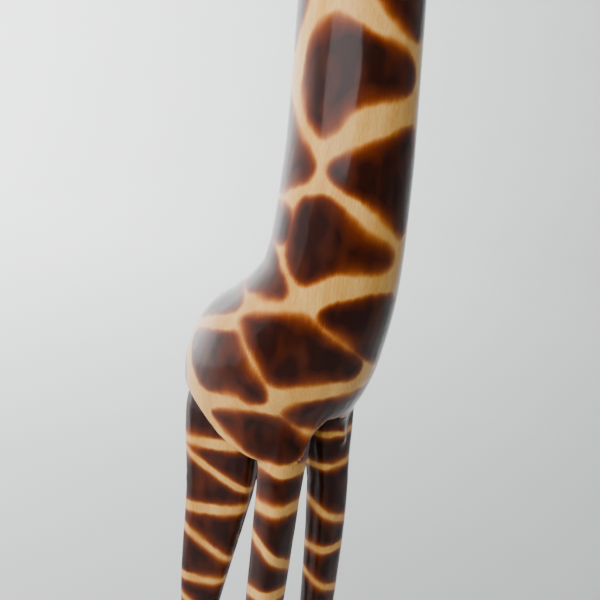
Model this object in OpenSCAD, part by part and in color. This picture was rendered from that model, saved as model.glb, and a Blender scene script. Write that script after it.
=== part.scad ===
// Tall carved wooden giraffe, standing on four hooves.
// Neck, trunk and legs are one log; head, ears, horns, eyes and tail are let into it.
// +X is forward, +Y is the animal's left, +Z is up, and the floor is z = 0.

/* [Log] */
// Distance of the log's axis behind the origin
log_back = 12.73; // [0:0.01:20]
// Width of the widest part of the trunk
trunk_w = 132; // [126:1:138]
// Foremost point of the neck's foot, ahead of the log's axis
chest_x = 79; // [76:1:82]
// Rearmost point of the rump, behind the log's axis
rump_x = 98; // [95:1:101]
// Height of the widest part of the trunk above the floor
trunk_z = 518; // [514:1:524]

/* [Neck] */
// Height where the head is joined on
neck_top_z = 1084; // [1070:1:1100]
// Width of the neck where the head is joined on
neck_top_w = 52; // [48:1:56]
// Height of the mane's ridge above the back of the neck
mane_h = 4.5; // [2:0.5:6]

/* [Legs] */
// Distance of the front hooves from the middle plane
front_hoof_y = 40; // [36:1:44]
// Distance of the hind hooves from the middle plane
hind_hoof_y = 46; // [42:1:50]
// Height of a hoof
hoof_h = 38; // [32:1:44]
// Width of the cleft in a hoof
cleft_w = 3; // [2:0.5:4]

/* [Head] */
// How far the muzzle points below the level
head_pitch = 24; // [18:1:30]
// Height of the middle of the skull
skull_z = 1163.8; // [1156:0.1:1170]
// Distance of the middle of the skull ahead of the log's axis
skull_x = 18; // [14:1:22]

/* [Ears] */
// Lean of an ear away from upright, to the side
ear_splay = 58; // [50:1:65]
// Lean of an ear backward
ear_lean = 18; // [10:1:25]

/* [Horns] */
// Length of a horn above the skull
horn_h = 40; // [34:1:46]
// Lean of a horn backward
horn_lean = 14; // [5:1:20]
// Lean of a horn outward
horn_splay = 8; // [4:1:12]

/* [Tenons and pegs] */
// Radius of the dowel between neck and head
dowel_r = 8; // [6:0.5:10]
// Length of the dowel
dowel_l = 80; // [60:2:90]
// Radius of an ear's tenon
ear_tenon_r = 4; // [3:0.5:4.5]
// Length of an ear's tenon
ear_tenon_l = 14; // [10:1:16]
// Radius of a horn's tenon
horn_tenon_r = 3.5; // [3:0.5:4]
// Length of a horn's tenon
horn_tenon_l = 11; // [8:1:14]
// Radius of the tail's peg
tail_peg_r = 4; // [3:0.5:4.5]
// Length of the tail's peg
tail_peg_l = 20; // [16:1:24]
// Radius of an eye
eye_r = 5; // [4:0.5:6]
// Depth of an eye's socket
eye_depth = 5; // [4:0.5:6]
// Radial gap between a tenon and its hole
fit_gap = 0.05; // [0.02:0.01:0.09]

/* [Hidden] */

pale_wood = "burlywood";
dark_wood = "saddlebrown";
left = 1;
right = -1;
past = 10;       // how far a cutter runs out past the surface that it opens
tip_gap = 1;     // space left beyond the end of a tenon
seat_gap = 0.3;  // space between a let-in piece and the bottom of its seat
overlap = 2;     // how far a tenon runs on into its own piece

throat_z = 1156;  // height inside the skull where the neck ends

// Upright sections of trunk and neck: height, rear x, front x, half width
log_stations = [
    [456, -rump_x + 10, chest_x - 33, trunk_w / 2 - 12],
    [472, -rump_x + 4, chest_x - 30, trunk_w / 2 - 8],
    [495, -rump_x, chest_x - 31, trunk_w / 2 - 4],
    [trunk_z, -rump_x, chest_x - 20, trunk_w / 2 - 1],
    [538, -rump_x + 7, chest_x - 13, trunk_w / 2],
    [563, -rump_x + 22, chest_x - 8, trunk_w / 2 - 2],
    [587, -rump_x + 52, chest_x - 3.5, trunk_w / 2 - 9],
    [613, -rump_x + 77, chest_x - 1, trunk_w / 2 - 16],
    [646, -rump_x + 82, chest_x, trunk_w / 2 - 20],
    [700, -14, chest_x - 2, 43],
    [750, -16, chest_x - 6, 41],
    [800, -18.5, chest_x - 10.5, 39.5],
    [940, -15.5, chest_x - 23, 33.5],
    [1030, -12, chest_x - 29, 29],
    [neck_top_z, -10, chest_x - 33, neck_top_w / 2],
    [1120, -6, chest_x - 39, neck_top_w / 2 - 4],
    [throat_z, 2, chest_x - 47, neck_top_w / 2 - 11],
];

// Lower edge of the trunk: angle around it from the chest, height
rim_stations = [
    [0, 500], [12, 498], [18, 478], [25, 468], [52, 464],
    [76, 472], [94, 485], [107, 493], [127, 497], [180, 500],
];

// Left front leg: height, middle x, middle y, half depth, half width, turn of its outer face forward
front_leg = [
    [505, 21, 21, 19, 19, 0],
    [470, 23.6, 23.6, 17.4, 17.4, 0],
    [450, 25.2, 25.2, 15.6, 15.6, 0],
    [430, 27.4, 27.4, 14.7, 14.7, 0],
    [414, 28, 28.2, 14.8, 14.6, 0],
    [378, 29, 29.8, 13.9, 13.9, 0],
    [340, 29.5, 30.8, 13.3, 13.2, 0],
    [290, 30, 31.8, 12.2, 12.2, 0],
    [235, 32, 33.5, 13.2, 12.6, 0],
    [190, 33.5, 34.8, 10.8, 10.8, 0],
    [120, 35.5, 36.6, 9.8, 9.8, 0],
    [70, 37, 38, 10.6, 10.8, 0],
    [hoof_h + 6, 37.5, 39, 11, 11.4, 0],
    [hoof_h - 4, 38, front_hoof_y - 0.6, 13.2, 13, 0],
    [12, 39.5, front_hoof_y, 15.6, 14.6, 0],
    [0, 40, front_hoof_y, 16.4, 15.2, 0],
];

// Left hind leg, in the same terms
hind_leg = [
    [505, -38, 28, 33, 19, 10],
    [475, -38, 31, 34.5, 17.5, 14],
    [430, -35.5, 32, 30.5, 15, 22],
    [398, -35.5, 33.4, 26.5, 13, 28],
    [358, -38, 36, 23, 11.2, 28],
    [317, -40, 38.5, 18.8, 9.8, 28],
    [280, -41.5, 39.5, 14.2, 9.4, 26],
    [240, -45, 41, 13.6, 10.4, 20],
    [195, -47, 42, 11, 9.8, 14],
    [120, -51, 43.6, 10, 9.6, 6],
    [70, -54, 45, 10.8, 10.8, 2],
    [hoof_h + 6, -55, 45.6, 11.2, 11.4, 0],
    [hoof_h - 4, -55.6, hind_hoof_y - 0.4, 13.2, 13, 0],
    [12, -56, hind_hoof_y, 15.6, 14.6, 0],
    [0, -56, hind_hoof_y, 16.4, 15.2, 0],
];

// Skull, from the back to the lips: distance along it, half width, half height, rise of its middle
skull_stations = [
    [-27, 6, 8, -2],
    [-23, 14, 17, -3],
    [-14, 21, 24, -3],
    [0, 25, 27.5, -2.5],
    [22, 26.5, 26.5, -2],
    [40, 23, 22, -3],
    [60, 18.5, 17, -4],
    [82, 15.5, 13.5, -3.5],
    [98, 15.5, 12.8, -2],
    [110, 16.5, 12.8, -1.5],
    [119, 14.5, 10.8, -2],
    [125, 9.5, 7, -2.5],
    [127.5, 4, 3, -2.8],
];

// Ear above its tenon: distance along it, half width, half thickness, depth of its hollow
ear_stations = [
    [0, 5, 5, 0],
    [5, 5.4, 4.8, 0.4],
    [12, 8, 3.8, 2.4],
    [22, 12, 2.9, 5],
    [32, 12.8, 2.6, 5.6],
    [42, 10, 2.3, 4.2],
    [50, 5.2, 1.9, 1.8],
    [54, 1.6, 1.3, 0.3],
];

// Tail: distance along its curve, behind the log's axis, height, half width, half thickness
tail_stations = [
    [0, 87.5, 556, 4.6, 4.6],
    [16, 98.5, 544, 4.6, 4.2],
    [38, 104.6, 523, 4.4, 4],
    [62, 104.2, 499, 4.2, 3.8],
    [86, 98, 476, 4.2, 3.8],
    [112, 90.5, 451, 4.4, 4],
    [128, 87, 435, 5.4, 4.8],
    [146, 84.5, 417, 7.6, 6.2],
    [166, 82.5, 397, 7.4, 5.8],
    [182, 81.5, 381, 4.4, 3.6],
    [190, 81, 373, 1.6, 1.4],
];

// How square each section is, from 2 for an ellipse upwards
log_squareness = 2;
leg_squareness = 3.4;
hoof_squareness = 2.6;
skull_squareness = 2.25;

// Points around each section
log_points = 48;
leg_points = 20;
skull_points = 32;
ear_points = 20;
tail_points = 12;
turned_n = 48;   // sides of turned pieces and drilled holes
bead_n = 64;     // sides of an eye's dome

shoulder_z = 600;    // below this the rings follow the trunk's lower edge
trunk_steps = [0.12:0.08:1]; // places of the trunk's rings between its lower edge and the shoulder
ring_pitch = 18;     // greatest distance between rings up the neck
first_ring = 14;     // distance of the neck's first ring above the shoulder
edge_bevel = 3;      // size of the bevel along the trunk's lower edge
belly_inset = 22;    // width of the slope from that edge in to the hollow under the belly
belly_hollow = 9;    // depth of that hollow
mane_angle = 13;     // half the angle that the mane takes at the back of the neck
mane_foot_z = 622;   // height where the mane starts
mane_foot_h = 30;    // height over which it grows to its full rise

hoof_edge = 6;       // height of the sloping top edge of a hoof
leg_top_z = 505;     // height inside the trunk where the legs start
knee_z = 120;        // above this the rings of a leg are leg_pitch apart
leg_pitch = 24;
leg_heights = [
    0, 4, 12, 24, hoof_h - hoof_edge, hoof_h - 1, hoof_h + 3, 56, 70, 95,
    for (z = [knee_z:leg_pitch:leg_top_z]) z, leg_top_z,
];
cleft_lean = 14;     // lean of the cleft's back, with the front of the hoof
cleft_depth = 4;     // depth of the cleft behind the hoof's front

skull_lengths = [-27, -25, -23, -19, for (u = [-14:6:112]) u, 115, 119, 122, 124.5, 126.4, 127.5];
ear_lengths = [0, for (u = [2.5:3.5:50]) u, 52, 53.2, 54];
tail_lengths = [0, for (u = [6:8:182]) u, 186, 190];

ear_seat = [skull_x - 4, 18.6, skull_z + 11];
ear_seat_r = 7;
horn_seat = [skull_x + 7, 10.5, skull_z + 17.5];
horn_seat_r = 7;
eye_seat = [skull_x + 29, 22, skull_z - 6];
eye_turn = 16;       // how far an eye looks ahead of sideways
eye_lift = 8;        // how far an eye looks up
tail_root = [-86.5, 0, 557];
tail_peg_tilt = 132;  // turn of the peg's axis from upright, forward and down

// ---- Curves through stations, and skins over rings of points ----

// Number of the gap between two stations that holds the place u
function gap_at(table, u, i = 0) =
    i >= len(table) - 2 || rising(table) * (table[i + 1][0] - u) >= 0 ? i : gap_at(table, u, i + 1);

function rising(table) = sign(table[1][0] - table[0][0]);

function slope_at(table, i) =
    let (before = max(i - 1, 0), after = min(i + 1, len(table) - 1))
    (table[after] - table[before]) / (table[after][0] - table[before][0]);

// The row at the place u on a smooth curve through the stations
function row_at(table, u) =
    let (i = gap_at(table, u))
    let (step = table[i + 1][0] - table[i][0])
    let (t = (u - table[i][0]) / step)
    (2 * pow(t, 3) - 3 * pow(t, 2) + 1) * table[i]
    + (pow(t, 3) - 2 * pow(t, 2) + t) * step * slope_at(table, i)
    + (3 * pow(t, 2) - 2 * pow(t, 3)) * table[i + 1]
    + (pow(t, 3) - pow(t, 2)) * step * slope_at(table, i + 1);

// A point on a unit superellipse, round at squareness 2 and squarer above it
function on_section(angle, squareness) =
    let (c = cos(angle), s = sin(angle))
    [c, s] / pow(pow(abs(c), squareness) + pow(abs(s), squareness), 1 / squareness);

function angles(count) = [for (i = [0:count - 1]) 360 * i / count];

function mean(points) = [for (i = [0:len(points) - 1]) 1] * points / len(points);

function blend(a, b, t) = a + (b - a) * t;

// A closed solid through rings of points that turn left around the way the rings go
module skin(rings) {
    n = len(rings[0]);
    last = len(rings) - 1;
    points = [for (ring = rings) each ring, mean(rings[0]), mean(rings[last])];
    start = n * len(rings);
    sides = [
        for (j = [0:last - 1], i = [0:n - 1])
            let (a = j * n + i, b = j * n + (i + 1) % n)
            each [[a, a + n, b + n], [a, b + n, b]]
    ];
    first_end = [for (i = [0:n - 1]) [start, i, (i + 1) % n]];
    last_end = [for (i = [0:n - 1]) [start + 1, last * n + (i + 1) % n, last * n + i]];
    polyhedron(points, concat(sides, first_end, last_end), convexity = 8);
}

// ---- The log: trunk, neck and legs ----

// Angle around the log, folded so that both sides are alike
function folded(angle) = angle > 180 ? 360 - angle : angle;

function rim_z(angle) = row_at(rim_stations, folded(angle))[1];

function mane_rise(angle, z) =
    let (side = (180 - folded(angle)) / mane_angle)
    let (foot = min(max((z - mane_foot_z) / mane_foot_h, 0), 1))
    side >= 1 ? 0 : mane_h * foot * pow(cos(90 * side), 2);

function log_point(angle, z, shrink = 0) =
    let (row = row_at(log_stations, z), unit = on_section(angle, log_squareness))
    let (half_l = (row[2] - row[1]) / 2 - shrink, middle = (row[1] + row[2]) / 2)
    [middle + half_l * unit[0] - mane_rise(angle, z), (row[3] - shrink) * unit[1], z];

// Rings from the trunk's lower edge up to the height top
function log_rings(top) = [
    [for (a = angles(log_points)) log_point(a, rim_z(a), belly_inset) + [0, 0, belly_hollow]],
    [for (a = angles(log_points)) log_point(a, rim_z(a), edge_bevel)],
    [for (a = angles(log_points)) log_point(a, rim_z(a) + edge_bevel)],
    for (t = trunk_steps) [for (a = angles(log_points)) log_point(a, blend(rim_z(a), shoulder_z, t))],
    each neck_rings(shoulder_z + first_ring, top),
];

function neck_rings(low, top) =
    let (steps = ceil((top - low) / ring_pitch))
    [for (j = [0:steps]) [for (a = angles(log_points)) log_point(a, blend(low, top, j / steps))]];

function leg_ring(table, z) =
    let (row = row_at(table, z), squareness = z > hoof_h - hoof_edge ? leg_squareness : hoof_squareness)
    [
        for (a = angles(leg_points))
            let (unit = on_section(a, squareness), depth = row[3] * unit[0], width = row[4] * unit[1])
            [
                row[1] + depth * cos(row[5]) + width * sin(row[5]),
                row[2] - depth * sin(row[5]) + width * cos(row[5]),
                z
            ]
    ];

module leg(table, side) {
    mirror([0, side == right ? 1 : 0, 0])
        skin([for (z = leg_heights) leg_ring(table, z)]);
}

// The split at the front of a hoof
module cleft(table, side) {
    sole = row_at(table, 0);
    translate([sole[1] + sole[3], side * sole[2], 0])
        rotate([0, -cleft_lean, 0])
        translate([-cleft_depth, -cleft_w / 2, -past])
        cube([2 * cleft_depth, cleft_w, hoof_h - hoof_edge + past]);
}

module carved_body() {
    color(pale_wood)
        translate([-log_back, 0, 0])
        difference() {
            union() {
                skin(log_rings(neck_top_z));
                for (side = [left, right]) {
                    leg(front_leg, side);
                    leg(hind_leg, side);
                }
            }
            for (side = [left, right], table = [front_leg, hind_leg])
                cleft(table, side);
            translate([dowel_x(), 0, neck_top_z - dowel_l / 2 - tip_gap])
                cylinder(r = dowel_r + fit_gap, h = dowel_l, $fn = turned_n);
            tail_peg(fit_gap, tip_gap, past);
        }
}

// ---- The head and what is let into it ----

function dowel_x() = mean([row_at(log_stations, neck_top_z)[1], row_at(log_stations, neck_top_z)[2]]);

module neck_dowel() {
    color(dark_wood)
        translate([dowel_x() - log_back, 0, neck_top_z - dowel_l / 2])
        cylinder(r = dowel_r, h = dowel_l, $fn = turned_n);
}

function skull_ring(u) =
    let (row = row_at(skull_stations, u))
    [
        for (a = angles(skull_points))
            let (unit = on_section(a, skull_squareness))
            [u, row[1] * unit[0], row[3] + row[2] * unit[1]]
    ];

module skull() {
    translate([skull_x, 0, skull_z])
        rotate([0, head_pitch, 0])
        skin([for (u = skull_lengths) skull_ring(u)]);
}

module head() {
    color(pale_wood)
        translate([-log_back, 0, 0])
        difference() {
            union() {
                skin(neck_rings(neck_top_z, throat_z));
                skull();
            }
            translate([dowel_x(), 0, neck_top_z - dowel_l / 2])
                cylinder(r = dowel_r + fit_gap, h = dowel_l + tip_gap, $fn = turned_n);
            for (side = [left, right]) {
                at_ear(side) seat(ear_seat_r, ear_tenon_r, ear_tenon_l);
                at_horn(side) seat(horn_seat_r, horn_tenon_r, horn_tenon_l);
                at_eye(side) eye_socket();
            }
        }
}

// A round recess at z = 0 with the hole for a tenon below it
module seat(seat_r, tenon_r, tenon_l) {
    translate([0, 0, -seat_gap])
        cylinder(r = seat_r, h = past + seat_gap, $fn = turned_n);
    translate([0, 0, -tenon_l - tip_gap])
        cylinder(r = tenon_r + fit_gap, h = tenon_l + tip_gap + past, $fn = turned_n);
}

module at_ear(side) {
    translate([ear_seat[0], side * ear_seat[1], ear_seat[2]])
        rotate([-side * ear_splay, 0, 0])
        rotate([0, -ear_lean, 0])
        children();
}

module at_horn(side) {
    translate([horn_seat[0], side * horn_seat[1], horn_seat[2]])
        rotate([-side * horn_splay, 0, 0])
        rotate([0, -horn_lean, 0])
        children();
}

module at_eye(side) {
    translate([eye_seat[0], side * eye_seat[1], eye_seat[2]])
        rotate([0, 0, -side * eye_turn])
        rotate([side * (eye_lift - 90), 0, 0])
        children();
}

function ear_ring(u) =
    let (row = row_at(ear_stations, u))
    [
        for (a = angles(ear_points))
            [row[2] * cos(a) - row[3] * pow(cos(a), 2), row[1] * sin(a), u]
    ];

module ear(side) {
    color(pale_wood)
        translate([-log_back, 0, 0])
        at_ear(side) {
            skin([for (u = ear_lengths) ear_ring(u)]);
            translate([0, 0, -ear_tenon_l])
                cylinder(r = ear_tenon_r, h = ear_tenon_l + overlap, $fn = turned_n);
        }
}

module horn(side) {
    shaft_r = 6.4;
    waist_r = 5.2;
    knob_r = 7.2;
    foot_h = 3;
    color(dark_wood)
        translate([-log_back, 0, 0])
        at_horn(side) {
            translate([0, 0, -horn_tenon_l])
                cylinder(r = horn_tenon_r, h = horn_tenon_l + overlap, $fn = turned_n);
            cylinder(r = shaft_r, h = foot_h, $fn = turned_n);
            translate([0, 0, foot_h])
                cylinder(r1 = shaft_r, r2 = waist_r, h = horn_h - knob_r - foot_h, $fn = turned_n);
            translate([0, 0, horn_h - knob_r])
                sphere(r = knob_r, $fn = turned_n);
        }
}

module eye_socket() {
    translate([0, 0, -eye_depth])
        cylinder(r = eye_r + fit_gap, h = eye_depth + past, $fn = turned_n);
}

module eye(side) {
    dome_r = 7;
    dome_rise = 2;
    color("black")
        translate([-log_back, 0, 0])
        at_eye(side)
        intersection() {
            translate([0, 0, -eye_depth])
                cylinder(r = eye_r, h = eye_depth + past, $fn = turned_n);
            translate([0, 0, dome_rise - dome_r])
                sphere(r = dome_r, $fn = bead_n);
        }
}

// ---- The tail ----

function tail_middle(u) = let (row = row_at(tail_stations, u)) [-row[1], 0, row[2]];

function tail_ring(u) =
    let (row = row_at(tail_stations, u), step = tail_middle(u + 1) - tail_middle(u - 1))
    let (along = step / norm(step), across = [along[2], 0, -along[0]])
    [
        for (a = angles(tail_points))
            tail_middle(u) + row[4] * cos(a) * across + [0, row[3] * sin(a), 0]
    ];

// The peg, or its hole when gap, extra depth and run-out are given
module tail_peg(gap = 0, deeper = 0, out = 0) {
    translate(tail_root)
        rotate([0, tail_peg_tilt, 0])
        translate([0, 0, -out])
        cylinder(r = tail_peg_r + gap, h = tail_peg_l + deeper + out, $fn = turned_n);
}

module tail() {
    color(dark_wood)
        translate([-log_back, 0, 0]) {
            skin([for (u = tail_lengths) tail_ring(u)]);
            tail_peg(out = overlap);
        }
}

carved_body();
head();
neck_dowel();
ear(left);  // ear_left
ear(right);  // ear_right
horn(left);  // horn_left
horn(right);  // horn_right
eye(left);  // eye_left
eye(right);  // eye_right
tail();
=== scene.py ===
"""The looks of a tall carved giraffe: scorched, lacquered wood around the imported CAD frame. Metres."""

import math

import bpy
import numpy as np
from mathutils import Matrix, Vector


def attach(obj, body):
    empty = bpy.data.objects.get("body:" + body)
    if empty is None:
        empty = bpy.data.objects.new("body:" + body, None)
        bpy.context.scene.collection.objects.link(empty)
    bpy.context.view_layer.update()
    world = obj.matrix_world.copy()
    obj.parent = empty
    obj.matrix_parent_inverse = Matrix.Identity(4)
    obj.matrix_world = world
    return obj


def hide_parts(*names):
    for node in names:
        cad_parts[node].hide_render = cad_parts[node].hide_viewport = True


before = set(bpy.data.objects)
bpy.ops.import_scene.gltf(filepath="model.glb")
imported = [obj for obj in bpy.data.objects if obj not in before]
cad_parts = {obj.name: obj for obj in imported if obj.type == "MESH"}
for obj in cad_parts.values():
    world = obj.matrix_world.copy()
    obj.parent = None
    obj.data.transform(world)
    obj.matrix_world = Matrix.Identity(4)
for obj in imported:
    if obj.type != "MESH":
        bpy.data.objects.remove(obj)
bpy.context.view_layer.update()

MM = 0.001

# ---- Camera ----

LOG_AXIS_X = -0.01273  # the log's axis, from the frame's origin
VIEW_HEIGHT = 0.580  # the trunk's withers, where the view is centred
VIEW_AZIMUTH, VIEW_ELEVATION, VIEW_ROLL = 45, 18, 6.5
VIEW_DISTANCE = 0.62
LENS_MM = 49.4
SENSOR_MM = 36
NEAR_CLIP = 0.01


def view_axes():
    """The camera's right, up and backward directions before it is rolled."""
    a, e = math.radians(VIEW_AZIMUTH), math.radians(VIEW_ELEVATION)
    back = Vector((math.sin(a) * math.cos(e), -math.cos(a) * math.cos(e), math.sin(e)))
    right = Vector((math.cos(a), math.sin(a), 0))
    return right, back.cross(right), back


def add_camera():
    right, up, back = view_axes()
    roll = math.radians(VIEW_ROLL)
    x = right * math.cos(roll) + up * math.sin(roll)
    y = up * math.cos(roll) - right * math.sin(roll)
    place = Vector((LOG_AXIS_X, 0, VIEW_HEIGHT)) + back * VIEW_DISTANCE
    camera = bpy.data.objects.new("camera", bpy.data.cameras.new("camera"))
    bpy.context.collection.objects.link(camera)
    camera.matrix_world = Matrix((x, y, back)).transposed().to_4x4()
    camera.location = place
    camera.data.lens = LENS_MM
    camera.data.sensor_width = SENSOR_MM
    camera.data.clip_start = NEAR_CLIP
    bpy.context.scene.camera = camera


# ---- Mesh work ----

SMOOTHING_STEPS = (0.5, -0.53)  # a share in towards the neighbours, then a little more back out


def coordinates(mesh):
    out = np.empty(len(mesh.vertices) * 3)
    mesh.vertices.foreach_get("co", out)
    return out.reshape(-1, 3)


def set_coordinates(mesh, points):
    mesh.vertices.foreach_set("co", points.ravel())
    mesh.update()


def normals(mesh):
    out = np.empty(len(mesh.vertices) * 3, np.float32)
    mesh.vertices.foreach_get("normal", out)
    return out.reshape(-1, 3).astype(float)


def neighbour_mean(points, edges):
    """The mean of each vertex's neighbours."""
    n = len(points)
    count = np.bincount(edges.ravel(), minlength=n)[:, None]
    total = np.stack(
        [
            np.bincount(edges[:, 0], points[edges[:, 1], k], n)
            + np.bincount(edges[:, 1], points[edges[:, 0], k], n)
            for k in range(points.shape[1])
        ],
        axis=1,
    )
    return total / np.maximum(count, 1)


def smoothed(mesh, rounds):
    """Coordinates after rounds of smoothing that keep the volume."""
    edges = np.empty(len(mesh.edges) * 2, np.int32)
    mesh.edges.foreach_get("vertices", edges)
    edges = edges.reshape(-1, 2)
    points = coordinates(mesh)
    for _ in range(rounds):
        for step in SMOOTHING_STEPS:
            points = points + step * (neighbour_mean(points, edges) - points)
    return points


def carved_from(node, voxel, rounds):
    """A fine mesh of a CAD node, with its facets smoothed away, that stands for the node."""
    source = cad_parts[node]
    blank = bpy.data.objects.new("blank", source.data.copy())
    bpy.context.collection.objects.link(blank)
    remesh = blank.modifiers.new("remesh", "REMESH")
    remesh.mode = "VOXEL"
    remesh.voxel_size = voxel
    mesh = bpy.data.meshes.new_from_object(
        blank.evaluated_get(bpy.context.evaluated_depsgraph_get())
    )
    bpy.data.objects.remove(blank)
    mesh.name = f"{node}_carved"
    mesh.materials.clear()
    on_floor = coordinates(mesh)[:, 2] < voxel / 2
    points = smoothed(mesh, rounds)
    points[on_floor, 2] = 0
    set_coordinates(mesh, points)
    mesh.shade_smooth()
    piece = bpy.data.objects.new(f"{node}_carved", mesh)
    bpy.context.collection.objects.link(piece)
    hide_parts(node)
    return piece


def knife_marks(piece, depth):
    """Moves the surface in and out a little, as a hand-carved one is."""
    mesh = piece.data
    points = coordinates(mesh)
    x, y, z = (points / MM).T
    waves = (
        np.sin(x / 9 + 1.7 * np.sin(z / 31)) * np.sin(z / 17 + y / 11)
        + 0.7 * np.sin(y / 7 - z / 23 + 2.1) * np.sin(x / 13 + z / 29)
        + 0.5 * np.sin((x + y) / 5.5 + z / 47 + 0.6)
    )
    points += normals(mesh) * (waves * depth / 2)[:, None]
    points[:, 2] = np.maximum(points[:, 2], 0)
    set_coordinates(mesh, points)


def store(piece, name, values):
    """Keeps one number a vertex, for the material to read."""
    attribute = piece.data.attributes.new(name, "FLOAT", "POINT")
    attribute.data.foreach_set("value", np.asarray(values, np.float32))


# ---- The scorched patches ----
# Each vertex gets its depth inside a dark patch, in millimetres, and less than 0 on the pale net.

# The log's middle line at a few heights, in millimetres from the frame's origin
MIDDLE = [
    (495, -37), (518, -32), (540, -25), (563, -15), (587, 2), (613, 16),
    (646, 19), (700, 19), (800, 12), (940, 7), (1084, 5), (1160, 4),
]

# Dark patches, by degrees around the log from the chest, and height: those of the right side
SIDE_OUTLINES = [
    [(66, 786), (38, 776), (8, 769), (-15, 757), (-9, 740), (14, 737), (45, 731), (60, 714), (74, 707),
     (94, 720), (105, 745), (94, 774)],
    [(94, 814), (106, 783), (114, 774), (124, 756), (150, 762), (168, 778), (168, 815), (124, 832)],
    [(118, 724), (98, 708), (82, 700), (74, 690), (80, 679), (96, 675), (122, 665), (150, 668),
     (168, 690), (168, 732), (142, 742)],
    [(107, 660), (92, 659), (88, 638), (98, 633), (122, 632), (150, 636), (167, 648), (140, 660)],
    [(76, 672), (57, 674), (40, 662), (28, 652), (0, 642), (-9, 630), (6, 623), (38, 625), (52, 619),
     (66, 610), (82, 616), (95, 632), (96, 650), (89, 666)],
    [(124, 634), (105, 629), (90, 617), (73, 605), (75, 596), (98, 596), (114, 593), (140, 598),
     (167, 608), (162, 628)],
    [(142, 552), (118, 568), (102, 577), (105, 588), (128, 596), (152, 592), (164, 570)],
    [(135, 547), (98, 563), (84, 568), (70, 551), (50, 533), (45, 518), (57, 514), (70, 520), (90, 509),
     (105, 514), (121, 528)],
    [(132, 522), (126, 512), (122, 500), (150, 500), (165, 520)],
    [(98, 579), (74, 588), (52, 593), (36, 582), (20, 572), (-2, 557), (1, 541), (22, 542), (36, 536),
     (48, 533), (62, 550), (78, 565)],
    [(90, 494), (70, 504), (52, 509), (33, 509), (23, 494), (10, 487), (2, 478), (14, 468), (38, 466),
     (54, 471), (66, 481)],
]
# Those that cross the chest or the rump, and one more on the left of the chest
CHEST_OUTLINES = [
    [(52, 812), (28, 791), (12, 780), (-16, 770), (-38, 786), (-32, 824), (10, 838), (46, 834)],
    [(-20, 725), (18, 713), (46, 703), (64, 696), (66, 686), (52, 679), (20, 667), (2, 654), (-20, 644),
     (-40, 680)],
    [(-24, 606), (10, 609), (34, 605), (46, 598), (43, 588), (30, 581), (17, 573), (0, 557), (-20, 544),
     (-42, 570)],
    [(-20, 533), (2, 528), (20, 527), (33, 520), (37, 511), (30, 502), (18, 498), (-5, 495), (-30, 505)],
    [(150, 548), (170, 556), (188, 552), (196, 538), (186, 524), (160, 526), (146, 534)],
    [(-52, 702), (-70, 712), (-92, 704), (-100, 688), (-82, 674), (-56, 676)],
]
# The left side has the right side's patches, squeezed behind those that cross the chest
LEFT_START, LEFT_SQUEEZE, LEFT_RISE = -43, 0.82, 3
OUTLINES = CHEST_OUTLINES + SIDE_OUTLINES + [
    [(LEFT_START - LEFT_SQUEEZE * angle, height + LEFT_RISE) for angle, height in outline]
    for outline in SIDE_OUTLINES
]
PALE_GAP = 9  # width of the pale net between a drawn patch and the others
NET_HALF_WIDTH = [(450, 4.6), (800, 4.2), (1084, 3.2)]  # of the net elsewhere, by height
SOFT_CORNER = 3.5  # how round the corners of the other patches are

FAR_OUT = -60  # depth given where no patch is near
NEAR_LEVELS = 30  # how far above and below its own levels an outline is measured
LEAST_LEVEL = 0.35  # limits on how steeply the surface may lean and turn away,
LEAST_TURNED = 0.5  # so that distances on it stay finite

LEG_SPLIT_X = -14  # front legs are ahead of this, hind legs behind it


def curve(table, at):
    """Straight runs between the rows of a table."""
    xs, ys = np.array(table, float).T
    return np.interp(at, xs, ys)


def rounded(outline):
    """A closed outline with its corners cut three times."""
    points = np.array(outline, float)
    for _ in range(3):
        after = np.roll(points, -1, axis=0)
        points = np.stack([0.75 * points + 0.25 * after, 0.25 * points + 0.75 * after], 1)
        points = points.reshape(-1, 2)
    return points


def around(points):
    """Degrees around the log from the chest, growing towards the giraffe's right side."""
    return np.degrees(np.arctan2(-points[:, 1], points[:, 0] - curve(MIDDLE, points[:, 2])))


def surface_scales(points, facing):
    """Millimetres on the surface for a degree around, and for a millimetre of height."""
    radial = points[:, :2] - np.stack([curve(MIDDLE, points[:, 2]), np.zeros(len(points))], 1)
    radius = np.linalg.norm(radial, axis=1)
    level = np.maximum(np.linalg.norm(facing[:, :2], axis=1), LEAST_LEVEL)
    turned = (radial * facing[:, :2]).sum(1) / (radius * level)
    return np.radians(radius) / np.clip(turned, LEAST_TURNED, 1), 1 / level


def depth_in(outline, angle, height, per_degree, per_mm):
    """Signed depth inside one outline, measured on the surface."""
    corners = rounded(outline)
    middle = corners[:, 0].mean()
    turn = (angle - middle + 180) % 360 - 180
    u = (corners[:, 0][None] - middle - turn[:, None]) * per_degree[:, None]
    v = (corners[:, 1][None] - height[:, None]) * per_mm[:, None]
    du, dv = np.roll(u, -1, 1) - u, np.roll(v, -1, 1) - v
    part = np.clip(-(u * du + v * dv) / np.maximum(du * du + dv * dv, 1e-9), 0, 1)
    far = np.hypot(u + part * du, v + part * dv).min(1)
    spans = (v > 0) != (np.roll(v, -1, 1) > 0)
    crossing = spans & (u - v * du / np.where(spans, dv, 1) > 0)
    return np.where(crossing.sum(1) % 2 == 1, far, -far)


def drawn_depth(points, facing):
    """Depth inside the drawn patches, and less than 0 outside them all."""
    angle, height = around(points), points[:, 2]
    per_degree, per_mm = surface_scales(points, facing)
    depth = np.full(len(points), float(FAR_OUT))
    for outline in OUTLINES:
        levels = [level for _, level in outline]
        near = (height > min(levels) - NEAR_LEVELS) & (height < max(levels) + NEAR_LEVELS)
        here = depth_in(outline, angle[near], height[near], per_degree[near], per_mm[near])
        depth[near] = np.maximum(depth[near], here)
    return depth


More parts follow.
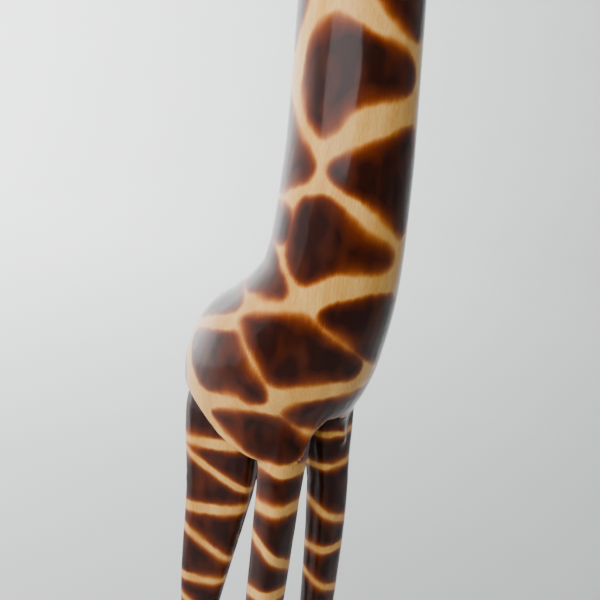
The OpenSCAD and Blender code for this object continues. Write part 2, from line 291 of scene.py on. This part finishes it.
def net_between(points, patches):
    """Distance from the lines halfway between the nearest patches, and the nearest patch."""
    seeds = np.array([p for patch in patches for p in patch], float)
    owner = np.array([k for k, patch in enumerate(patches) for _ in patch])
    squared = ((points[:, None, :] - seeds[None]) ** 2).sum(2)
    nearest = squared.argmin(1)
    least = squared[np.arange(len(points)), nearest]
    total = np.zeros(len(points))
    for j, seed in enumerate(seeds):
        apart = np.linalg.norm(seeds[nearest] - seed, axis=1)
        gap = (squared[:, j] - least) / (2 * np.maximum(apart, 1))
        total += np.where(owner[nearest] == owner[j], 0, np.exp(-gap / SOFT_CORNER))
    return -SOFT_CORNER * np.log(np.maximum(total, 1e-9)), owner[nearest]


def place_at(points, angles, angle, level):
    """The point of the surface nearest to an angle around the log and a height."""
    off = np.hypot((angles - angle + 180) % 360 - 180, points[:, 2] - level)
    return points[off.argmin()]


def seeds_inside(points, angles, outline):
    """Points halfway between the middle of an outline and its corners."""
    corners = np.array(outline, float)
    halfway = (corners + corners.mean(0)) / 2
    return [place_at(points, angles, *place) for place in halfway]


def spread_patches(points, rows, taken, room):
    """More patches in staggered rows around the surface, wherever none is near yet."""
    angles = around(points)
    chosen = [np.array(patch, float) for patch in taken]
    added = []
    for k, (height, count) in enumerate(rows):
        for i in range(count):
            angle = 360 * (i + 0.5 * (k % 2) + 0.13 * math.sin(5 * i + 3 * k)) / count
            level = height + 7 * math.sin(2.3 * i + 1.1 * k)
            place = place_at(points, angles, angle, level)
            gaps = [np.linalg.norm(patch - place, axis=1).min() for patch in chosen]
            if min(gaps, default=room) >= room:
                chosen.append(place[None])
                added.append([place])
    return added


# Height of the trunk's lower edge, by degrees around it from the chest
RIM = [
    (0, 500), (12, 498), (18, 478), (25, 468), (52, 464),
    (76, 472), (94, 485), (107, 493), (127, 497), (180, 500),
]
# On the left, the leg's pattern goes on up over the shoulder
LEFT_RIM = [(0, 500), (40, 499), (66, 480), (76, 475), (94, 485)] + RIM[7:]
TRUNK_MIDDLE_X, TRUNK_HALF_L, TRUNK_HALF_W = -36, 73, 60
RIM_LINE = 2.5  # width of the pale line above that edge


def rim_height(points):
    """Height of the trunk's lower edge in the direction of each point."""
    forward = (points[:, 0] - TRUNK_MIDDLE_X) / TRUNK_HALF_L
    turn = np.degrees(np.arctan2(np.abs(points[:, 1]) / TRUNK_HALF_W, forward))
    return np.where(points[:, 1] > 0, curve(LEFT_RIM, turn), curve(RIM, turn))


# Pale bands on the legs from the top down: height, fall towards the front left, half width
HIND_BANDS = [
    (459, -0.25, 4.5), (431, 0.4, 3.4), (399, -0.2, 5), (362, 0.5, 3.6), (329, -0.12, 4),
]
FRONT_RIGHT_BANDS = [(463, 0.05, 5.5), (430, -0.1, 5.5), (391, 0.75, 4), (355, -0.1, 5)]
FRONT_LEFT_BANDS = [(481, -0.1, 3), (452, -0.15, 3), (408, 0.5, 4), (374, -0.1, 4), (340, 0.5, 3.4)]
LOWEST_BAND = 60
BAND_STEP = 33
SLANTED, LEVEL = 0.5, -0.12  # falls of the bands added further down, in turn
ADDED_HALF = 3.4  # half their width
LEG_CHAR = 1.4  # how much faster the legs darken away from a band
SLICE = 10  # height of the slices in which a leg's middle is found


def band_depth(points, middles, bands):
    """Depth inside the dark of a leg, between its pale bands."""
    right = view_axes()[0]
    across = (points[:, :2] - middles) @ np.array(right.xy)
    rows = list(bands)
    while rows[-1][0] - BAND_STEP > LOWEST_BAND:
        k = len(rows)
        slant = SLANTED if rows[-1][1] < 0.2 else LEVEL
        rows.append((rows[-1][0] - BAND_STEP - 3 * math.sin(k), slant, ADDED_HALF))
    gaps = [
        np.abs(points[:, 2] - height + fall * across) / math.hypot(1, fall) - half
        for height, fall, half in rows
    ]
    return np.min(gaps, axis=0)


def leg_middles(points):
    """The middle of the leg that each point is on."""
    middles = np.zeros((len(points), 2))
    for low in np.arange(0, 520, SLICE):
        level = (points[:, 2] >= low) & (points[:, 2] < low + SLICE)
        for front in (False, True):
            for left in (False, True):
                side = ((points[:, 0] > LEG_SPLIT_X) == front) & ((points[:, 1] > 0) == left)
                here = level & side
                if here.any():
                    box = points[here, :2]
                    middles[here] = (box.min(0) + box.max(0)) / 2
    return middles


# Rows of further patches up the neck and the head: height, how many around
PATCH_ROWS = [
    (1186, 5), (1150, 5), (1110, 4), (1070, 4), (1028, 4), (984, 4), (938, 4), (892, 5), (852, 5),
]
PATCH_ROOM = 34  # least distance between the middles of two patches
MUZZLE_SEEDS = [[(60, 18, 1140)], [(60, -18, 1140)], [(88, 0, 1140)], [(110, 0, 1118)]]


def patch_seeds(points):
    """Seeds of the drawn patches and of all the others, over the whole log and head."""
    angles = around(points)
    drawn = [seeds_inside(points, angles, outline) for outline in OUTLINES]
    return drawn, spread_patches(points, PATCH_ROWS, drawn + MUZZLE_SEEDS, PATCH_ROOM) + MUZZLE_SEEDS


def patch_depth(points, facing, seeds):
    """Depth inside the dark patches of the trunk, the neck and the head."""
    drawn, spread = seeds
    net, owner = net_between(points, drawn + spread)
    half = curve(NET_HALF_WIDTH, points[:, 2])
    depth = drawn_depth(points, facing)
    others = np.where(owner >= len(drawn), net - half, FAR_OUT)
    return np.maximum(depth, np.minimum(others, -depth - PALE_GAP))


def leg_depth(points):
    """Depth inside the dark of the legs."""
    middles = leg_middles(points)
    front, left = points[:, 0] > LEG_SPLIT_X, points[:, 1] > 0
    depth = np.zeros(len(points))
    for here, bands in (
        (front & ~left, FRONT_RIGHT_BANDS),
        (front & left, FRONT_LEFT_BANDS),
        (~front, HIND_BANDS),
    ):
        depth[here] = band_depth(points[here], middles[here], bands)
    return depth


def body_depth(points, facing, seeds):
    """Depth inside the dark of the log: patches above the trunk's lower edge, bands below it."""
    above = points[:, 2] - rim_height(points)
    trunk = np.minimum(patch_depth(points, facing, seeds), above - RIM_LINE)
    return np.where(above > 0, trunk, LEG_CHAR * leg_depth(points))


MANE_MIDDLE = [(600, 18), (800, 12.5), (940, 7), (1084, 5), (1160, 4)]  # height, neck's middle
MANE_FOOT, MANE_FOOT_H = 622, 30
MANE_ANGLE = 13  # half the angle that the mane takes at the back of the neck
MANE_DEPTH = 12  # how deeply the mane is charred


def mane(points):
    """How far up the mane's ridge each point of the log or head is, from 0 to 1."""
    middle = curve(MANE_MIDDLE, points[:, 2])
    angle = np.degrees(np.arctan2(np.abs(points[:, 1]), middle - points[:, 0]))
    rise = np.clip((points[:, 2] - MANE_FOOT) / MANE_FOOT_H, 0, 1)
    return rise * np.clip(1 - angle / MANE_ANGLE, 0, 1)


# ---- Materials ----


class Shader:
    """A material's nodes, each made in one call."""

    def __init__(self, name):
        self.material = bpy.data.materials.new(name)
        self.material.use_nodes = True
        self.tree = self.material.node_tree
        self.surface = self.tree.nodes["Principled BSDF"]
        self.place = self.add("ShaderNodeTexCoord").outputs["Object"]

    def add(self, kind, settings=None, **inputs):
        node = self.tree.nodes.new(kind)
        for name, value in (settings or {}).items():
            setattr(node, name, value)
        for name, value in inputs.items():
            self.set(node, name.replace("_", " "), value)
        return node

    def set(self, node, name, value):
        socket = node.inputs[int(name[1:]) if name[0] == "i" and name[1:].isdigit() else name]
        if isinstance(value, bpy.types.NodeSocket):
            self.tree.links.new(value, socket)
        else:
            socket.default_value = value

    def maths(self, operation, *values):
        node = self.add("ShaderNodeMath", {"operation": operation})
        for k, value in enumerate(values):
            self.set(node, f"i{k}", value)
        return node.outputs[0]

    def noise(self, across_mm, along_mm, detail=2.0, roughness=0.5, offset=0.0):
        """Noise of one size across the grain and another along it, from 0 to 1."""
        scale = (1 / (across_mm * MM), 1 / (across_mm * MM), 1 / (along_mm * MM))
        mapped = self.add(
            "ShaderNodeMapping", Vector=self.place, Scale=scale, Location=(offset, offset, offset)
        )
        node = self.add(
            "ShaderNodeTexNoise",
            Vector=mapped.outputs[0],
            Scale=1.0,
            Detail=detail,
            Roughness=roughness,
        )
        return node.outputs[0]

    def attribute(self, name):
        return self.add("ShaderNodeAttribute", {"attribute_name": name}).outputs["Fac"]

    def ranged(self, value, low, high, to_low=0.0, to_high=1.0, smooth=False):
        node = self.add(
            "ShaderNodeMapRange", {"interpolation_type": "SMOOTHSTEP" if smooth else "LINEAR"}
        )
        for k, v in enumerate((value, low, high, to_low, to_high)):
            self.set(node, f"i{k}", v)
        return node.outputs[0]

    def ramp(self, value, stops):
        node = self.add("ShaderNodeValToRGB", Fac=value)
        elements = node.color_ramp.elements
        while len(elements) < len(stops):
            elements.new(0.5)
        for element, (at, colour) in zip(elements, stops):
            element.position = at
            element.color = (*colour, 1)
        return node.outputs[0]

    def mix(self, share, a, b, blend="MIX"):
        node = self.add("ShaderNodeMix", {"data_type": "RGBA", "blend_type": blend})
        for name, value in ((0, share), (6, a), (7, b)):
            if not isinstance(value, bpy.types.NodeSocket) and name:
                value = (*value, 1)
            self.set(node, f"i{name}", value)
        return node.outputs[2]

    def bump(self, height, distance_mm):
        return self.add(
            "ShaderNodeBump", Height=height, Distance=distance_mm * MM, Strength=1.0
        ).outputs[0]


PALE_A = (0.75, 0.435, 0.12)
PALE_B = (0.57, 0.265, 0.045)
PORE = (0.34, 0.15, 0.03)
# Burnt colours from the edge of a patch inwards, as shares of the way from BURN_START to BURN_END
BURN_START, BURN_END = -3.6, 12.0
BURN = [
    (0.0, (0.66, 0.33, 0.07)), (0.12, (0.50, 0.19, 0.028)), (0.22, (0.32, 0.085, 0.011)),
    (0.30, (0.19, 0.040, 0.0045)), (0.42, (0.10, 0.0155, 0.0016)), (0.60, (0.05, 0.007, 0.0008)),
    (0.86, (0.018, 0.0023, 0.0004)),
]
EMBER = (0.115, 0.0185, 0.0025)
RAGGED_MM, BENT_MM = 2.6, 3.0  # how far the grain and slow waves move a patch's edge
PORE_SHARE = 0.6
BLACK = (0.020, 0.0038, 0.001)
BROWN = (0.075, 0.014, 0.003)


def lacquer(shader, normal, coat_normal):
    """Thick clear gloss over the wood."""
    surface = shader.surface
    shader.set(surface, "Roughness", 0.45)
    shader.set(surface, "Specular IOR Level", 0.05)
    shader.set(surface, "Coat Weight", 1.0)
    shader.set(surface, "Coat Roughness", 0.13)
    shader.set(surface, "Coat IOR", 1.25)
    shader.set(surface, "Normal", normal)
    shader.set(surface, "Coat Normal", coat_normal)


def pale_wood(shader):
    """Bare wood with upright grain: fine streaks, broad figure and thin darker pores."""
    fine = shader.noise(0.6, 22, detail=3, roughness=0.62)
    figure = shader.noise(14, 160, detail=2, offset=5)
    halves = [shader.maths("MULTIPLY", noise, 0.5) for noise in (fine, figure)]
    share = shader.maths("ADD", *halves)
    base = shader.mix(shader.ranged(share, 0.38, 0.62), PALE_A, PALE_B)
    pores = shader.ranged(shader.noise(0.28, 6, detail=1, offset=9), 0.6, 0.75)
    return shader.mix(shader.maths("MULTIPLY", pores, PORE_SHARE), base, PORE), fine


def scorched(shader, depth, base, fine):
    """Colour by depth inside a scorched patch, with the edges drawn out along the grain."""
    comb = shader.noise(0.55, 22, detail=3, roughness=0.7, offset=3)
    wobble = shader.noise(8, 14, detail=1, offset=7)
    ragged = shader.maths("MULTIPLY", shader.maths("SUBTRACT", comb, 0.5), RAGGED_MM)
    bent = shader.maths("MULTIPLY", shader.maths("SUBTRACT", wobble, 0.5), BENT_MM)
    edge = shader.maths("ADD", depth, shader.maths("ADD", ragged, bent))
    heat = shader.ranged(shader.noise(26, 30, detail=1, offset=17), 0.35, 0.65, 0.65, 1.5)
    edge = shader.maths("MULTIPLY", edge, heat)
    burn = shader.ramp(shader.ranged(edge, BURN_START, BURN_END), BURN)
    deep = shader.noise(14, 30, detail=1, offset=11)
    inside = shader.ranged(depth, 1.5, 4)
    glow = shader.maths("MULTIPLY", shader.ranged(deep, 0.47, 0.75, 0, 0.45), inside)
    burn = shader.mix(glow, burn, EMBER)
    streak = shader.ranged(fine, 0.3, 0.7, 0.82, 1.12)
    grey = shader.add("ShaderNodeCombineColor", i0=streak, i1=streak, i2=streak).outputs[0]
    burn = shader.mix(1.0, burn, grey, "MULTIPLY")
    return shader.mix(shader.ranged(edge, BURN_START, -0.6, smooth=True), base, burn)


def scorched_wood():
    shader = Shader("scorched_wood")
    base, fine = pale_wood(shader)
    colour = scorched(shader, shader.attribute("depth"), base, fine)
    shader.set(shader.surface, "Base Color", colour)
    grain = shader.bump(fine, 0.05)
    ripple = shader.bump(shader.noise(7, 12, detail=1, offset=2), 0.12)
    lacquer(shader, grain, ripple)
    return shader.material


def dark_wood():
    shader = Shader("dark_wood")
    fine = shader.noise(0.9, 18, detail=3, roughness=0.62)
    colour = shader.mix(shader.ranged(fine, 0.35, 0.75), BLACK, BROWN)
    shader.set(shader.surface, "Base Color", colour)
    lacquer(shader, shader.bump(fine, 0.06), shader.bump(shader.noise(5, 8, offset=2), 0.15))
    return shader.material


def bare_wood():
    shader = Shader("bare_wood")
    base, fine = pale_wood(shader)
    shader.set(shader.surface, "Base Color", base)
    shader.set(shader.surface, "Roughness", 0.6)
    shader.set(shader.surface, "Normal", shader.bump(fine, 0.05))
    return shader.material


def eye_bead():
    shader = Shader("eye_bead")
    cloud = shader.mix(shader.noise(2.2, 2.2, detail=2), (0.004, 0.003, 0.003), (0.02, 0.009, 0.005))
    shader.set(shader.surface, "Base Color", cloud)
    shader.set(shader.surface, "Roughness", 0.12)
    shader.set(shader.surface, "Specular IOR Level", 0.0)
    shader.set(shader.surface, "Coat Weight", 1.0)
    shader.set(shader.surface, "Coat Roughness", 0.02)
    shader.set(shader.surface, "Coat IOR", 1.35)
    shader.set(shader.surface, "Normal", shader.bump(shader.noise(1.5, 1.5), 0.01))
    return shader.material


# ---- Pieces ----


def finish_piece(piece, material, body):
    piece.data.materials.append(material)
    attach(piece, body)


LOG_VOXEL, HEAD_VOXEL, TAIL_VOXEL, SMALL_VOXEL = 2.0 * MM, 1.0 * MM, 1.0 * MM, 0.8 * MM
LOG_ROUNDS, EAR_ROUNDS, PLAIN_ROUNDS = 9, 5, 4  # rounds of smoothing
MARK_DEPTH = 0.3 * MM
LEGS_BELOW = 490  # patches are only placed on the log above this height
EAR_EDGE = 16  # millimetres of an ear's tip and rim that are scorched
SKULL_PLACE = (5.3, 0, 1163.8)  # the middle of the skull, in millimetres
HEAD_PITCH = math.radians(24)
EYE_PLACE = (34.3, 22, 1157.8)


def notch(distance, width):
    """1 in the middle of a cut, falling to 0 at its edges."""
    return np.exp(-((distance / (width / 2)) ** 2))


def carve_face(piece):
    """The mouth's line, the nostrils, the brow and the lids, cut into the head."""
    mesh = piece.data
    facing = normals(mesh)
    points = coordinates(mesh) / MM
    x, y, z = (points - SKULL_PLACE).T
    along = x * math.cos(HEAD_PITCH) - z * math.sin(HEAD_PITCH)
    up = x * math.sin(HEAD_PITCH) + z * math.cos(HEAD_PITCH)
    y = np.abs(y)
    lip = -6.5 + 0.0022 * (along - 84) ** 2
    mouth = notch(up - lip, 1.8) * np.clip((along - 80) / 8, 0, 1)
    nostril = notch(np.hypot((along - 117) / 1.5, y - 8) + np.abs(up - 4), 4.5)
    to_eye = np.linalg.norm(np.stack([points[:, 0], y, points[:, 2]], 1) - EYE_PLACE, axis=1)
    lid = notch(to_eye - 7.2, 3.2)
    brow = notch(np.hypot((along - 26) / 2.2, y - 17), 9) * (up > 0)
    cheek = notch(up + 20 - 0.12 * along, 9) * notch(along - 12, 44)
    depth = 1.1 * mouth + 2.4 * nostril - 0.9 * lid - 1.3 * brow - 0.8 * cheek
    set_coordinates(mesh, (points - facing * depth[:, None]) * MM)


def make_log(material):
    """The log and the head, with one pattern that runs over both."""
    body = carved_from("carved_body", LOG_VOXEL, LOG_ROUNDS)
    head = carved_from("head", HEAD_VOXEL, LOG_ROUNDS)
    body_points, head_points = (coordinates(piece.data) / MM for piece in (body, head))
    high = body_points[body_points[:, 2] > LEGS_BELOW]
    seeds = patch_seeds(np.concatenate([high, head_points]))
    depths = (
        body_depth(body_points, normals(body.data), seeds),
        patch_depth(head_points, normals(head.data), seeds),
    )
    for piece, points, depth in zip((body, head), (body_points, head_points), depths):
        ridge = np.clip(mane(points) * 2.5, 0, 1)
        store(piece, "depth", np.maximum(depth, MANE_DEPTH * (2 * ridge - 1)))
        knife_marks(piece, MARK_DEPTH)
        finish_piece(piece, material, "statue")
    carve_face(head)


def make_ear(side, material):
    node = f"ear_{side}"
    piece = carved_from(node, SMALL_VOXEL, EAR_ROUNDS)
    points = coordinates(piece.data) / MM
    reach = np.abs(points[:, 1])
    store(piece, "depth", reach - reach.max() + EAR_EDGE)
    finish_piece(piece, material, node)


def give_material(node, material):
    """Swaps the material of a CAD node that is shown as it is."""
    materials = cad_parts[node].data.materials
    materials.clear()
    materials.append(material)


def make_plain(node, voxel, material):
    piece = carved_from(node, voxel, PLAIN_ROUNDS)
    finish_piece(piece, material, "statue")


def make_pieces():
    scorch, dark, bead = scorched_wood(), dark_wood(), eye_bead()
    make_log(scorch)
    for side in ("left", "right"):
        make_ear(side, scorch)
        make_plain(f"horn_{side}", SMALL_VOXEL, dark)
        give_material(f"eye_{side}", bead)
    make_plain("tail", TAIL_VOXEL, dark)
    give_material("neck_dowel", bare_wood())


# ---- Floor and light ----


STUDIO_RADIUS, STUDIO_HEIGHT, COVE_RADIUS = 4.4, 3.0, 1.6
STUDIO_SIDES = 96


STUDIO_A, STUDIO_B = (0.50, 0.51, 0.51), (0.54, 0.55, 0.55)

DAYLIGHT = (0.97, 0.98, 1.0)
# Walls of light: ends as distance and degrees left of the camera, low and high edge, radiance
WINDOW = ((1.3, 8), (1.1, 58), 0.62, 2.2, 6.2)
SIDE_WALL = ((1.1, 58), (1.7, 140), 0.1, 2.2, 1.5)
# The light on the wall behind, as distances ahead of, left of and above the floor's middle
WASH_PLACE, WASH_AIM = (1.6, 1.7, 2.9), (4.2, 2.8, 0.2)
WASH_SIZE, WASH_RADIANCE = (2.2, 1.4), 62
SKY_COLOUR, SKY_STRENGTH = (0.96, 0.98, 1.0, 1), 0.14


def add_studio():
    """A pale floor that curves up into a round wall."""
    flat = STUDIO_RADIUS - COVE_RADIUS
    bend = [math.radians(a) for a in range(0, 91, 9)]
    profile = [(0.2, 0), (flat * 0.5, 0)]
    profile += [(flat + COVE_RADIUS * math.sin(a), COVE_RADIUS * (1 - math.cos(a))) for a in bend]
    profile.append((STUDIO_RADIUS, STUDIO_HEIGHT))
    turns = [2 * math.pi * k / STUDIO_SIDES for k in range(STUDIO_SIDES)]
    points = [(r * math.cos(t), r * math.sin(t), z) for r, z in profile for t in turns]
    faces = [list(range(STUDIO_SIDES))]
    for j in range(len(profile) - 1):
        for i in range(STUDIO_SIDES):
            a, b = j * STUDIO_SIDES + i, j * STUDIO_SIDES + (i + 1) % STUDIO_SIDES
            faces.append((a, a + STUDIO_SIDES, b + STUDIO_SIDES, b))
    mesh = bpy.data.meshes.new("studio")
    mesh.from_pydata(points, [], faces)
    mesh.shade_smooth()
    studio = bpy.data.objects.new("studio", mesh)
    bpy.context.collection.objects.link(studio)
    shader = Shader("studio")
    cloud = shader.noise(300, 300, detail=3)
    shader.set(shader.surface, "Base Color", shader.mix(cloud, STUDIO_A, STUDIO_B))
    shader.set(shader.surface, "Roughness", 0.9)
    mesh.materials.append(shader.material)


def add_panel(name, place, aim, size, radiance, colour=(1, 1, 1)):
    """A soft one-sided panel of even brightness."""
    data = bpy.data.lights.new(name, "AREA")
    data.shape = "RECTANGLE"
    data.size, data.size_y = size
    data.energy = radiance * math.pi * size[0] * size[1]
    data.color = colour
    light = bpy.data.objects.new(name, data)
    bpy.context.collection.objects.link(light)
    light.location = place
    light.rotation_mode = "QUATERNION"
    light.rotation_quaternion = (Vector(place) - Vector(aim)).to_track_quat("Z", "Y")
    light.visible_camera = False


def add_wall_of_light(name, near, far, low, high, radiance):
    """A panel between two (distance, degrees left of the camera) ends, from a low to a high edge."""
    right, _, back = view_axes()
    level = Vector((back.x, back.y, 0)).normalized()
    ends = [
        distance * (math.cos(math.radians(turn)) * level - math.sin(math.radians(turn)) * right)
        for distance, turn in (near, far)
    ]
    middle = (ends[0] + ends[1]) / 2 + Vector((0, 0, (low + high) / 2))
    along = (ends[1] - ends[0]).normalized()
    inward = Vector((-along.y, along.x, 0))
    if inward.dot(middle) > 0:
        inward.negate()
    width = (ends[1] - ends[0]).length
    add_panel(name, middle, middle + inward, (width, high - low), radiance, DAYLIGHT)


def add_sky():
    world = bpy.data.worlds.new("room")
    bpy.context.scene.world = world
    world.use_nodes = True
    sky = world.node_tree.nodes["Background"]
    sky.inputs["Color"].default_value = SKY_COLOUR
    sky.inputs["Strength"].default_value = SKY_STRENGTH


def add_lights():
    add_wall_of_light("window", *WINDOW)
    add_wall_of_light("side_wall", *SIDE_WALL)
    right, _, back = view_axes()
    level = Vector((back.x, back.y, 0)).normalized()
    place, aim = (
        -ahead * level - left * right + Vector((0, 0, up)) for ahead, left, up in (WASH_PLACE, WASH_AIM)
    )
    add_panel("wall_wash", place, aim, WASH_SIZE, WASH_RADIANCE)
    add_sky()


add_camera()
make_pieces()
add_studio()
add_lights()
